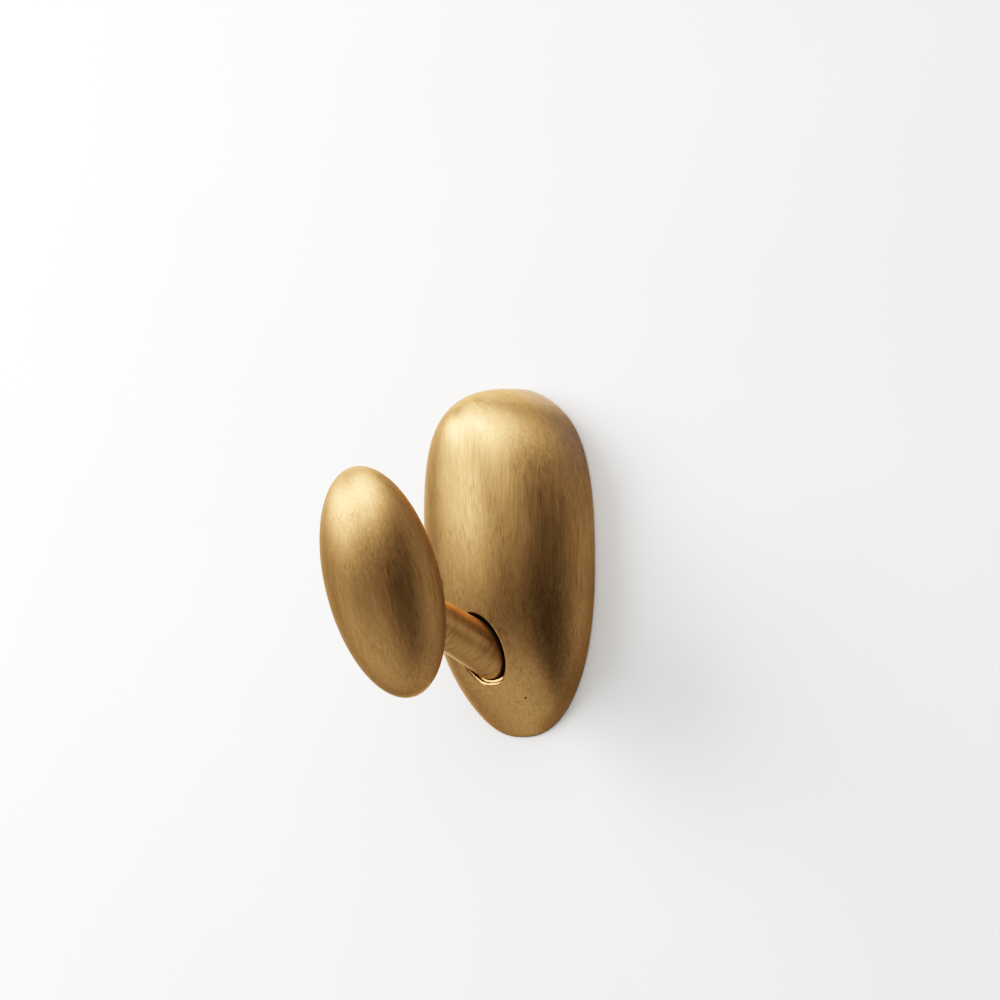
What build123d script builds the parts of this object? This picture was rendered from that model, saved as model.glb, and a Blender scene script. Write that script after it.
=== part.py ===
from build123d import *
import os
from math import sin, cos, tan, radians, hypot, atan2, sqrt, pi

# Wall hook: a deep pebble-shaped backplate, a slanting tapered post and an
# egg-shaped head. Millimetres, +Z up. The wall is the plane Y = 0 and the hook
# stands out towards -Y, so "out" below means the distance -Y from the wall.

# ---------------------------------------------------------------- backplate
PLATE_HALF_W = 17.78          # half width at the wall
PLATE_HALF_H = 35.0           # half height at the wall, downwards
PLATE_UP = 1.0084             # upwards the plate is this much higher
# outline exponents at the wall (2 is an ellipse): at the top, at the flanks, at the foot
EXP_TOP, EXP_FLANK, EXP_FOOT = 1.814, 2.506, 2.332
TOP_SPAN = 1.081              # angle from the top over which the flank's fullness is reached
BULGE_W, BULGE_H = 0.082, -0.115      # fullness of the cross and upright sections (0 is an ellipse)
# depth of the pebble along its height, zeta = z / half height
DEPTH = (21.041, 6.574, 11.978, 7.448, 4.365, 16.939)
WALL_T = 2.4                  # shell thickness
INNER_DEPTH = 0.915           # inner depth against outer depth
EDGE_R = 0.35                 # broken edge where the plate meets the wall

# ---------------------------------------------------------------- post
MOUTH_OUT, MOUTH_Z = 14.795, -17.493   # where the post's axis leaves the plate
POST_TILT = 17.57             # degrees upwards
POST_R_MOUTH = 4.81           # radius at the mouth
POST_TAPER = 0.0293           # radius lost per mm going out
BORE_R = 5.28                 # clearance bore in the plate
BORE_EDGE_R = 0.6             # rounded edge of the bore
SEAT_IN = 6.0                 # depth of the seat below the mouth
BOSS_R = 8.0
BOSS_IN = 9.0                 # depth of the boss's back face
POST_TIP = 33.0               # end of the post inside the head

# ---------------------------------------------------------------- head
HEAD_OUT, HEAD_Z = 47.25, -5.99       # centre
HEAD_R = 11.34                # radius across the long axis
HEAD_L = 24.12                # half length
HEAD_LEAN = 24.10             # degrees, top away from the wall

# ---------------------------------------------------------------- hidden fixing
SCREW_R = 2.0
SCREW_LEN = 10.0              # under the head
SCREW_HEAD_R = 3.5
SCREW_HEAD_H = 2.8
SOCKET_AF = 2.5
WASHER_T = 0.9
WASHER_R = 3.7
BRACKET_W = 16.0
BRACKET_T = 5.0
BRACKET_LOW, BRACKET_HIGH = -11.0, 22.0
HOLE_Z = (10.0, -6.0)         # wall screw holes
HOLE_R = 2.25
SINK_R = 4.3
RIB_TOP = 27.0
RIB_BACK = 0.4                # rib stays this far off the wall

os.makedirs("parts", exist_ok=True)


def at(x, out, z):
    return (x, -out, z)


def depth(zeta):
    return sum(c * zeta ** k for k, c in enumerate(DEPTH))


def ease(t):
    t = min(1.0, max(0.0, t))
    return t * t * (3 - 2 * t)


def fullness(psi):
    """Outline exponent at the wall, psi counted from +X towards +Z."""
    up = sin(psi)
    if up > 0:
        return EXP_TOP + (EXP_FLANK - EXP_TOP) * ease(abs(pi / 2 - psi) / TOP_SPAN)
    return EXP_FOOT + (EXP_FLANK - EXP_FOOT) * ease(1 + up / 0.35)


def spread(psi, n):
    """Outline point of the unit oval with exponent n."""
    c, s = cos(psi), sin(psi)
    f = (abs(c) ** n + abs(s) ** n) ** (-1 / n)
    return c * f, s * f * (PLATE_UP if s > 0 else 1.0)


def pebble(half_w, half_h, share):
    """Solid between the wall plane and the pebble surface."""
    steps = 41
    below = 0.10              # the surface runs on behind the wall plane
    rows = []
    for i in range(steps):
        row = []
        u = -1 + 2 * i / (steps - 1)
        for j in range(steps):
            v = -1 + 2 * j / (steps - 1)
            px, pz = u * sqrt(1 - v * v / 2), v * sqrt(1 - u * u / 2)
            rho, psi = hypot(px, pz), atan2(pz, px)
            s = pi / 2 - rho * (pi / 2 + below)
            # an ellipse in the middle, the outline's own shape towards the wall
            n = 2 + (fullness(psi) - 2) * min(1, 1 - 2 * s / pi) ** 2
            xi, zeta = spread(psi, n)
            b = BULGE_W + (BULGE_H - BULGE_W) * sin(psi) ** 2
            c = cos(s) * (1 + b * sin(s) ** 2)
            xi, zeta = xi * c, zeta * c
            out = share * depth(zeta) * sin(s) * (1 + b * cos(s) ** 2)
            row.append(Vector(*at(half_w * xi, out, half_h * zeta)))
        rows.append(row)
    skin = Face.make_surface_from_array_of_points(rows, tol=0.0005, min_deg=3, max_deg=3)
    block = Pos(0, -25, 0) * Box(60, 50, 90)
    return min(block.split(skin, keep=Keep.ALL).solids(), key=lambda s: s.volume)


# frame of the post: Z along the post going out, X along the wall
tilt = radians(POST_TILT)
post_dir = Vector(*at(0, cos(tilt), sin(tilt)))
post_frame = Plane(origin=at(0, MOUTH_OUT, MOUTH_Z), x_dir=(1, 0, 0), z_dir=post_dir)


def along(start, end, r0, r1=None):
    """Round bar or cone along the post's axis between two distances."""
    r1 = r0 if r1 is None else r1
    bar = Solid.make_cylinder(r0, end - start) if r0 == r1 else Solid.make_cone(r0, r1, end - start)
    return post_frame.location * Pos(0, 0, start) * bar


# ---------------------------------------------------------------- backplate
outer = pebble(PLATE_HALF_W, PLATE_HALF_H, 1.0)
inner = pebble(PLATE_HALF_W - WALL_T, PLATE_HALF_H - WALL_T, INNER_DEPTH)


def outline(grow, out):
    """Flat face of the plate's outline, grown, at a distance from the wall."""
    pts = []
    for k in range(72):
        psi = -pi + 2 * pi * k / 72
        xi, zeta = spread(psi, fullness(psi))
        pts.append(at((PLATE_HALF_W + grow) * xi, out, (PLATE_HALF_H + grow) * zeta))
    return make_face(Spline(*pts, periodic=True))


# the edge that meets the wall is broken all round
bevel = loft([outline(-EDGE_R, 0), outline(EDGE_R, 2 * EDGE_R)])
shell = outer & (bevel + Pos(0, -25 - 2 * EDGE_R, 0) * Box(60, 50, 90))

boss = along(-BOSS_IN, 30, BOSS_R)
slope_z = BRACKET_HIGH - BRACKET_T         # bevel meets the wall here
rib_side = Polyline(at(0, RIB_BACK, slope_z + RIB_BACK), at(0, BRACKET_T, BRACKET_HIGH),
                    at(0, BRACKET_T, RIB_TOP), at(0, RIB_BACK, RIB_TOP), close=True)
rib = extrude(make_face(rib_side), amount=30, dir=(1, 0, 0), both=True)

# the boss and the rib are what is left standing in the hollow
backplate = shell - (inner - boss - rib)
backplate = backplate - along(-SEAT_IN, 30, BORE_R)
mouth = Vector(*at(0, MOUTH_OUT, MOUTH_Z))
rim = [e for e in backplate.edges()
       if all(abs((e.position_at(t) - mouth).cross(post_dir).length - BORE_R) < 0.02 for t in (0.1, 0.4, 0.8))
       and (e.center() - mouth).dot(post_dir) > -SEAT_IN / 2]
backplate = fillet(rim, BORE_EDGE_R)
backplate = backplate - along(-BOSS_IN - 1, -SEAT_IN + 1, SCREW_R + 0.2)

# ---------------------------------------------------------------- post
post = Part() + along(-SEAT_IN, POST_TIP, POST_R_MOUTH + POST_TAPER * SEAT_IN,
                      POST_R_MOUTH - POST_TAPER * POST_TIP)
post = chamfer(post.edges().filter_by(GeomType.CIRCLE), 0.3)
shank_end = -BOSS_IN - WASHER_T + SCREW_LEN
post = post - along(-SEAT_IN - 1, shank_end + 1.5, SCREW_R + 0.02)

# ---------------------------------------------------------------- head
egg = scale(Sphere(HEAD_R), by=(1, 1, HEAD_L / HEAD_R))
egg = Pos(*at(0, HEAD_OUT, HEAD_Z)) * Rot(HEAD_LEAN, 0, 0) * egg
head = egg - along(-SEAT_IN, POST_TIP, POST_R_MOUTH + POST_TAPER * SEAT_IN,
                   POST_R_MOUTH - POST_TAPER * POST_TIP)

# ---------------------------------------------------------------- screw and washer
head_from = -BOSS_IN - WASHER_T
socket = extrude(Plane.XY * RegularPolygon(SOCKET_AF / 2, 6, major_radius=False), amount=1.7)
screw_head = Part() + along(head_from - SCREW_HEAD_H, head_from, SCREW_HEAD_R)
screw_head = chamfer(screw_head.edges().filter_by(GeomType.CIRCLE), 0.3)
screw = screw_head + along(head_from, head_from + SCREW_LEN, SCREW_R)
screw = screw - (post_frame.location * Pos(0, 0, head_from - SCREW_HEAD_H) * socket)

washer = Part() + along(-BOSS_IN - WASHER_T, -BOSS_IN, WASHER_R) - along(-BOSS_IN - 3, -BOSS_IN + 3, SCREW_R + 0.12)
slit = Pos(WASHER_R, 0, 0) * Rot(18, 0, 0) * Box(2 * WASHER_R, 0.5, 6)
washer = washer - (post_frame.location * Pos(0, 0, -BOSS_IN) * slit)

# ---------------------------------------------------------------- wall bracket
side = Polyline(at(0, 0, BRACKET_LOW), at(0, BRACKET_T, BRACKET_LOW), at(0, BRACKET_T, BRACKET_HIGH),
                at(0, 0, slope_z), close=True)
bracket = extrude(make_face(side), amount=BRACKET_W / 2, dir=(1, 0, 0), both=True)
upright = [e for e in bracket.edges() if abs(e.center().Z - BRACKET_LOW) < 0.01
           and abs(abs(e.center().X) - BRACKET_W / 2) < 0.01]
bracket = fillet(upright, 2.5)
for z in HOLE_Z:
    drill = Plane(origin=at(0, 0, z), x_dir=(1, 0, 0), z_dir=(0, -1, 0)).location
    sink = SINK_R - HOLE_R
    bracket = bracket - drill * Pos(0, 0, -1) * Solid.make_cylinder(HOLE_R, BRACKET_T + 2)
    bracket = bracket - drill * Pos(0, 0, BRACKET_T - sink) * Solid.make_cone(HOLE_R, SINK_R, sink)

for name, shape in (("backplate", backplate), ("post", post), ("head", head),
                    ("post_screw", screw), ("lock_washer", washer), ("wall_bracket", bracket)):
    solids = shape.solids()
    print(name, len(solids), [round(s.volume, 1) for s in solids], shape.bounding_box())
    export_step(solids[0], "parts/" + name + ".step")
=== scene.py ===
import math

import bpy
from mathutils import Matrix, Vector

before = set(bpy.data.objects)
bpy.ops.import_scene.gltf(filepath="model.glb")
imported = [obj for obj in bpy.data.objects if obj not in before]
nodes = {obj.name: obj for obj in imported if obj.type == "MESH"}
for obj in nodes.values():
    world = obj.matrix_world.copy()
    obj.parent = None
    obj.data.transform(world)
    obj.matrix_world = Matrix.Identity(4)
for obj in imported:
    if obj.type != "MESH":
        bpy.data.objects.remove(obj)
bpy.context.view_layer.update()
scene = bpy.context.scene

# Row frame, metres: wall at Y = 0, the hook stands out towards -Y, +Z up.
HEAD_CENTRE = Vector((0, -0.04725, -0.00599))
HEAD_LEAN = math.radians(24.10)
MOUTH = Vector((0, -0.014795, -0.017493))
POST_TILT = math.radians(17.57)
MOUTH_NORMAL = (0, -0.898, -0.440)
SPECK = Vector((0.00605, -0.00771, -0.02750))
head_axis = Vector((0, -math.sin(HEAD_LEAN), math.cos(HEAD_LEAN)))
post_axis = Vector((0, -math.cos(POST_TILT), math.sin(POST_TILT)))


# ------------------------------------------------------------------ node helper
class Net:
    """Short calls for building a node tree."""

    def __init__(self, tree):
        self.tree = tree
        tree.nodes.clear()

    def add(self, kind, **props):
        n = self.tree.nodes.new(kind)
        for k, v in props.items():
            setattr(n, k, v)
        return n

    def put(self, socket, value):
        if isinstance(value, bpy.types.NodeSocket):
            self.tree.links.new(value, socket)
        else:
            socket.default_value = value

    def math(self, op, a, b=None, c=None, clamp=False):
        n = self.add("ShaderNodeMath", operation=op, use_clamp=clamp)
        for i, v in enumerate((a, b, c)):
            if v is not None:
                self.put(n.inputs[i], v)
        return n.outputs[0]

    def vec(self, op, a, b=None):
        n = self.add("ShaderNodeVectorMath", operation=op)
        self.put(n.inputs[0], a)
        if b is not None:
            self.put(n.inputs[1], b)
        return n.outputs["Value"] if op in ("DOT_PRODUCT", "LENGTH", "DISTANCE") else n.outputs["Vector"]

    def xyz(self, x, y, z):
        n = self.add("ShaderNodeCombineXYZ")
        for i, v in enumerate((x, y, z)):
            self.put(n.inputs[i], v)
        return n.outputs[0]

    def noise(self, vector, scale=1.0, detail=3.0, rough=0.55, distort=0.0):
        n = self.add("ShaderNodeTexNoise", noise_dimensions="3D")
        self.put(n.inputs["Vector"], vector)
        n.inputs["Scale"].default_value = scale
        n.inputs["Detail"].default_value = detail
        n.inputs["Roughness"].default_value = rough
        n.inputs["Distortion"].default_value = distort
        return n.outputs[0]

    def ramp(self, value, lo, hi, to_lo=0.0, to_hi=1.0, smooth=True):
        n = self.add("ShaderNodeMapRange", interpolation_type="SMOOTHSTEP" if smooth else "LINEAR")
        self.put(n.inputs["Value"], value)
        for name, v in (("From Min", lo), ("From Max", hi), ("To Min", to_lo), ("To Max", to_hi)):
            n.inputs[name].default_value = v
        return n.outputs["Result"]

    def mix(self, factor, a, b, blend="MIX"):
        n = self.add("ShaderNodeMix", data_type="RGBA", blend_type=blend)
        self.put(n.inputs[0], factor)
        self.put(n.inputs[6], a)
        self.put(n.inputs[7], b)
        return n.outputs[2]

    def blend(self, factor, a, b):
        n = self.add("ShaderNodeMix", data_type="FLOAT")
        self.put(n.inputs[0], factor)
        self.put(n.inputs[2], a)
        self.put(n.inputs[3], b)
        return n.outputs[0]


def material(name):
    m = bpy.data.materials.new(name)
    m.use_nodes = True
    return m, Net(m.node_tree)


BRASS = (0.56, 0.353, 0.172, 1)
BRASS_WORN = (0.66, 0.437, 0.225, 1)
BRASS_DARK = (0.34, 0.193, 0.084, 1)
MAUVE = (0.40, 0.30, 0.245, 1)


def brushed_brass(name, centre, axis, side, squeeze=1.0, ring=False, top_rings=False, mottle=0.5, speck=None, rough_base=0.36, grain=0.4, reach=0.0175, bright=1.0):
    """Brushed antique brass. The strokes run along the axis, or round it where ring is set."""
    m, n = material(name)
    axis = Vector(axis).normalized()
    side = Vector(side).normalized()
    third = axis.cross(side)
    p = n.add("ShaderNodeTexCoord").outputs["Object"]
    normal = n.add("ShaderNodeNewGeometry").outputs["Normal"]
    q = n.vec("SUBTRACT", p, centre)
    along = n.vec("DOT_PRODUCT", q, axis)
    a = n.vec("DOT_PRODUCT", q, side)
    b = n.math("MULTIPLY", n.vec("DOT_PRODUCT", q, third), squeeze)
    r = n.math("SQRT", n.math("ADD", n.math("MULTIPLY", a, a), n.math("MULTIPLY", n.math("MULTIPLY", b, b), 1.0)))
    r = n.math("MAXIMUM", r, 1e-5)
    ca, cb = n.math("DIVIDE", a, r), n.math("DIVIDE", b, r)

    def strokes(across, length, seed, detail, rough=0.6):
        if ring:
            v = n.xyz(n.math("MULTIPLY", ca, length), n.math("MULTIPLY_ADD", cb, length, seed), n.math("MULTIPLY", along, across))
        else:
            v = n.xyz(n.math("MULTIPLY", a, across / reach), n.math("MULTIPLY_ADD", b, across / reach, seed), n.math("MULTIPLY", along, length))
        s = n.noise(v, detail=detail, rough=rough)
        if top_rings:
            # on the plate's upper side the strokes follow the outline
            t = n.xyz(n.math("MULTIPLY", a, length), n.math("MULTIPLY_ADD", b, across * 46, seed), n.math("MULTIPLY", along, across * 20))
            s = n.blend(upper, s, n.noise(t, detail=detail, rough=rough))
        return s

    if top_rings:
        upper = n.ramp(n.vec("DOT_PRODUCT", normal, axis), 0.40, 0.75)
    if ring:
        fine = strokes(2600, 1.2, 0.0, 3)
        broad = strokes(900, 1.0, 7.0, 4)
    else:
        fine = strokes(70, 150, 0.0, 4, 0.68)
        broad = strokes(22, 90, 7.0, 4)
    cloud = n.noise(q, scale=130, detail=5, rough=0.6)
    grit = n.noise(q, scale=2400, detail=4, rough=0.7)

    tone = n.math("ADD", n.math("MULTIPLY", n.ramp(fine, 0.28, 0.72), 0.70), n.math("MULTIPLY", n.ramp(broad, 0.30, 0.70), 0.30))
    worn = n.ramp(tone, 0.35, 0.95)
    dark = n.math("MULTIPLY", n.ramp(tone, 0.42, 0.02), n.ramp(cloud, 0.36, 0.66, 0.25, 1.0))
    grit_mask = n.math("MULTIPLY", n.ramp(grit, 0.56, 0.74), mottle)
    colour = n.mix(n.math("MULTIPLY", worn, 0.95), BRASS, BRASS_WORN)
    colour = n.mix(n.math("MULTIPLY", dark, 0.85), colour, BRASS_DARK)
    colour = n.mix(grit_mask, colour, BRASS_DARK)
    # painted light: the colour is lightened by this factor, a lighter copy of the same brass
    if bright != 1.0:
        colour = n.mix(1.0, colour, (bright, bright, bright, 1), "MULTIPLY")
    if top_rings:
        # mauve tone along the upper right edge, partly patina and partly painted shade that dulls the top's
        # sheen, and painted shade above the post
        x, out, z = n.vec("DOT_PRODUCT", p, (1, 0, 0)), n.vec("DOT_PRODUCT", p, (0, -1, 0)), n.vec("DOT_PRODUCT", p, (0, 0, 1))
        edge = n.math("MULTIPLY", n.ramp(out, 0.0115, 0.0025), n.math("MULTIPLY", n.ramp(z, 0.012, 0.025), n.ramp(x, -0.010, 0.004)))
        edge = n.math("MULTIPLY", edge, n.ramp(tone, 0.75, 0.15, 0.35, 0.95))
        colour = n.mix(edge, colour, MAUVE)
        # painted shade: the lower right edge next to the wall is darkened
        painted_edge_shade = n.math("MULTIPLY", n.math("MULTIPLY", n.ramp(out, 0.0045, 0.0005), n.ramp(x, 0.002, 0.008)), n.ramp(z, 0.006, -0.008, 0.0, 0.7))
        colour = n.mix(painted_edge_shade, colour, BRASS_DARK)
        # painted shade: a soft dark patch on the plate above the post
        painted_shade_above_post = n.ramp(n.vec("DISTANCE", p, (0.007, -0.019, -0.005)), 0.0125, 0.003)
        colour = n.mix(n.math("MULTIPLY", painted_shade_above_post, 0.30), colour, BRASS_DARK)
    height = n.math("ADD", n.math("MULTIPLY", fine, 0.7), n.math("MULTIPLY", broad, 0.5))
    rough = n.math("ADD", n.math("MULTIPLY", fine, 0.10), n.math("MULTIPLY_ADD", cloud, 0.08, rough_base))
    if ring or top_rings:
        # painted shade in the gap round the post: the bore wall and the post's part inside the bore are darkened
        if ring:
            inside = n.ramp(n.vec("DOT_PRODUCT", q, MOUTH_NORMAL), 0.0002, -0.0005)
        else:
            w = n.vec("SUBTRACT", p, MOUTH)
            inside = n.math("MULTIPLY", n.ramp(n.vec("LENGTH", n.vec("CROSS_PRODUCT", w, tuple(post_axis))), 0.00560, 0.00535),
                            n.ramp(n.vec("DOT_PRODUCT", w, tuple(post_axis)), -0.0078, -0.0068))
            inside = n.math("MULTIPLY", inside, n.ramp(n.vec("DOT_PRODUCT", w, (0, math.sin(POST_TILT), math.cos(POST_TILT))), -0.0040, -0.0010))
        colour = n.mix(n.math("MULTIPLY", inside, 0.93), colour, (0.02, 0.012, 0.007, 1))
        rough = n.math("MULTIPLY_ADD", inside, 0.3, rough)
    if speck:
        d = n.vec("DISTANCE", p, speck)
        pit = n.ramp(d, 0.00027, 0.00014)
        colour = n.mix(n.math("MULTIPLY", pit, 0.92), colour, (0.02, 0.011, 0.006, 1))
        rough = n.math("MULTIPLY_ADD", pit, 0.3, rough)
        height = n.math("SUBTRACT", height, n.math("MULTIPLY", pit, 6.0))

    bump = n.add("ShaderNodeBump")
    bump.inputs["Strength"].default_value = 0.32
    bump.inputs["Distance"].default_value = 0.00002
    n.put(bump.inputs["Height"], height)

    round_axis = n.vec("NORMALIZE", n.vec("CROSS_PRODUCT", tuple(axis), normal))
    tangent = n.vec("CROSS_PRODUCT", normal, round_axis) if ring else round_axis

    s = n.add("ShaderNodeBsdfPrincipled")
    s.inputs["Metallic"].default_value = 1.0
    s.inputs["Anisotropic"].default_value = grain
    s.inputs["Specular Tint"].default_value = (0.72, 0.62, 0.52, 1)
    n.put(s.inputs["Base Color"], colour)
    n.put(s.inputs["Roughness"], rough)
    n.put(s.inputs["Normal"], bump.outputs[0])
    n.put(s.inputs["Tangent"], tangent)
    out = n.add("ShaderNodeOutputMaterial")
    n.put(out.inputs["Surface"], s.outputs[0])
    return m


def steel(name, base, rough_base):
    """Zinc-plated steel of the hidden fixing: cloudy passivation and fine drawing marks."""
    m, n = material(name)
    p = n.add("ShaderNodeTexCoord").outputs["Object"]
    cloud = n.noise(p, scale=260, detail=5, rough=0.6)
    lines = n.noise(n.vec("MULTIPLY", p, (3500, 3500, 120)), detail=3)
    tint = n.mix(n.ramp(cloud, 0.35, 0.65), base, (base[0] * 0.80, base[1] * 0.82, base[2] * 0.78, 1))
    tint = n.mix(n.math("MULTIPLY", n.ramp(lines, 0.5, 0.75), 0.35), tint, (base[0] * 0.5, base[1] * 0.5, base[2] * 0.5, 1))
    bump = n.add("ShaderNodeBump")
    bump.inputs["Strength"].default_value = 0.3
    bump.inputs["Distance"].default_value = 0.00002
    n.put(bump.inputs["Height"], n.math("ADD", lines, cloud))
    s = n.add("ShaderNodeBsdfPrincipled")
    s.inputs["Metallic"].default_value = 1.0
    n.put(s.inputs["Base Color"], tint)
    n.put(s.inputs["Roughness"], n.math("MULTIPLY_ADD", cloud, 0.2, rough_base))
    n.put(s.inputs["Normal"], bump.outputs[0])
    n.put(n.add("ShaderNodeOutputMaterial").inputs["Surface"], s.outputs[0])
    return m


def paint(node, mat):
    o = nodes[node]
    o.data.materials.clear()
    o.data.materials.append(mat)


paint("backplate", brushed_brass("brass_plate", (0, 0, 0), (0, 0, 1), (1, 0, 0), squeeze=0.72, top_rings=True, mottle=0.18, speck=SPECK, rough_base=0.31, grain=0.25))
paint("head", brushed_brass("brass_head", HEAD_CENTRE, head_axis, (1, 0, 0), mottle=0.38, rough_base=0.37, grain=0.35, reach=0.0165))
# no mirror images of the head and the post in the metal, where they came out too strong
nodes["head"].visible_glossy = False
nodes["post"].visible_glossy = False
# the post's brass is painted 4% lighter, painted light
paint("post", brushed_brass("brass_post", MOUTH, post_axis, (1, 0, 0), ring=True, mottle=0.2, rough_base=0.30, bright=1.04))
paint("post_screw", steel("screw_steel", (0.42, 0.41, 0.39, 1), 0.26))
paint("lock_washer", steel("washer_steel", (0.50, 0.49, 0.46, 1), 0.30))
paint("wall_bracket", steel("bracket_steel", (0.55, 0.54, 0.50, 1), 0.34))


# ------------------------------------------------------------------ wall
def wall_mesh():
    """A flat wall with an opening behind the plate, so the hook's back can be seen from behind."""
    k = 96
    inner, outer = [], []
    for i in range(k):
        psi = 2 * math.pi * i / k
        c, s = math.cos(psi), math.sin(psi)
        inner.append((0.0164 * c, 0.0, 0.0333 * s))
        g = 2.0 / max(abs(c), abs(s))
        outer.append((g * c, 0.0, g * s))
    verts = [(x, 0.00004, z) for x, _, z in inner] + [(x, 0.00004, z) for x, _, z in outer]
    faces = [(i, (i + 1) % k, k + (i + 1) % k, k + i) for i in range(k)]
    me = bpy.data.meshes.new("wall")
    me.from_pydata(verts, [], faces)
    me.update()
    if me.polygons[0].normal.y > 0:
        me.flip_normals()
    return me


wall = bpy.data.objects.new("wall", wall_mesh())
scene.collection.objects.link(wall)
wall.visible_glossy = False
wall.visible_shadow = False
m, n = material("wall_paint")
pos = n.add("ShaderNodeTexCoord").outputs["Object"]
geo = n.add("ShaderNodeNewGeometry")
mist = n.noise(pos, scale=14, detail=4, rough=0.55)
d = n.add("ShaderNodeBsdfDiffuse")
n.put(d.inputs["Color"], n.mix(n.ramp(mist, 0.3, 0.7), (0.490, 0.490, 0.485, 1), (0.504, 0.504, 0.499, 1)))
t = n.add("ShaderNodeBsdfTransparent")
mx = n.add("ShaderNodeMixShader")
n.put(mx.inputs[0], geo.outputs["Backfacing"])
n.put(mx.inputs[1], d.outputs[0])
n.put(mx.inputs[2], t.outputs[0])
n.put(n.add("ShaderNodeOutputMaterial").inputs["Surface"], mx.outputs[0])
wall.data.materials.append(m)


# ------------------------------------------------------------------ light
def towards(az, el):
    """Unit vector to a place round the hook: azimuth 0 is straight out of the wall, + to the right."""
    a, e = math.radians(az), math.radians(el)
    return Vector((math.sin(a) * math.cos(e), -math.cos(a) * math.cos(e), math.sin(e)))


LOBES = [
    # azimuth, elevation, full inside, gone outside, strength
    (-19, 13, 7, 32, 3.8),      # window in front
    (28, 30, 4, 42, 2.1),
    (43, 64, 2, 55, 2.4),       # ceiling
    (115, 50, 6, 40, 0.3),
    (-135, 20, 3, 58, 1.4),     # bright wall on the left
    (-130, 50, 6, 36, 1.0),
    (-150, -5, 6, 40, 1.2),
    (-55, -22, 5, 40, 0.42),
    (-85, -48, 5, 38, 0.55),
    (150, 8, 8, 42, 0.3),       # shaded wall on the right
    (128, 0, 4, 25, 0.2),
    (180, -52, 8, 42, 0.4),
    (135, -30, 8, 42, 0.35),
    (20, -50, 5, 45, 0.3),      # floor
    (0, -80, 8, 45, 0.4),
]
AMBIENT = 0.006
world = bpy.data.worlds.new("studio")
scene.world = world
world.use_nodes = True
n = Net(world.node_tree)
ray = n.add("ShaderNodeTexCoord").outputs["Generated"]
total = (AMBIENT, AMBIENT, AMBIENT, 1)
for az, el, full, gone, power in LOBES:
    dot = n.vec("DOT_PRODUCT", ray, towards(az, el))
    glow = n.ramp(dot, math.cos(math.radians(gone)), math.cos(math.radians(full)))
    total = n.mix(1.0, total, n.mix(glow, (0, 0, 0, 1), (power, power, power, 1)), "ADD")
studio = n.add("ShaderNodeBackground")
n.put(studio.inputs["Color"], total)
plain = n.add("ShaderNodeBackground")
plain.inputs["Color"].default_value = (1.2, 1.2, 1.19, 1)
pick = n.add("ShaderNodeMixShader")
n.put(pick.inputs[0], n.add("ShaderNodeLightPath").outputs["Is Camera Ray"])
n.put(pick.inputs[1], studio.outputs[0])
n.put(pick.inputs[2], plain.outputs[0])
n.put(n.add("ShaderNodeOutputWorld").inputs["Surface"], pick.outputs[0])


def softbox(name, az, el, distance, size, radiance):
    light = bpy.data.lights.new(name, "AREA")
    light.shape = "DISK"
    light.size = size
    light.energy = radiance * math.pi * math.pi * (size / 2) ** 2
    o = bpy.data.objects.new(name, light)
    way = towards(az, el)
    o.location = way * distance
    o.rotation_mode = "QUATERNION"
    o.rotation_quaternion = way.to_track_quat("Z", "Y")
    scene.collection.objects.link(o)
    return o


softbox("key", -46, 15, 0.50, 0.40, 1.3)
softbox("key_high", -60, 30, 0.50, 0.40, 1.7)
# the wall is painted: this light shows on it, not in the metal
wall_key = softbox("wall_key", -46, 18, 0.60, 0.40, 13.0)
wall_key.visible_glossy = False

# ------------------------------------------------------------------ camera
a, e = math.radians(36), math.radians(-4)
back = Vector((math.sin(a) * math.cos(e), -math.cos(a) * math.cos(e), math.sin(e)))
right = Vector((math.cos(a), math.sin(a), 0))
up = Vector((-math.sin(a) * math.sin(e), math.cos(a) * math.sin(e), math.cos(e)))
cam = bpy.data.cameras.new("camera")
cam.lens, cam.sensor_width, cam.sensor_fit = 259.2, 36, "HORIZONTAL"
cam.clip_start, cam.clip_end = 0.01, 50
eye = bpy.data.objects.new("camera", cam)
eye.location = back * 1.453044 - right * 0.004757 + up * 0.012863
eye.rotation_mode = "QUATERNION"
eye.rotation_quaternion = Matrix((right, up, back)).transposed().to_quaternion()
scene.collection.objects.link(eye)
scene.camera = eye

# ------------------------------------------------------------------ picture tone
# a photographic curve: deep shadows, highlights that roll off to cream
view = scene.view_settings
view.view_transform = "Standard"
view.look = "None"
view.use_curve_mapping = True
cm = view.curve_mapping
cm.white_level = (1.516, 1.516, 1.516)
curve = cm.curves[3]
for x, y in ((0.0216, 0.01), (0.05, 0.04), (0.0902, 0.10), (0.1433, 0.20), (0.2556, 0.40), (0.3965, 0.60), (0.6106, 0.80), (0.7703, 0.90)):
    curve.points.new(x, y)
curve.points[-1].location = (1.0, 0.99)
cm.update()
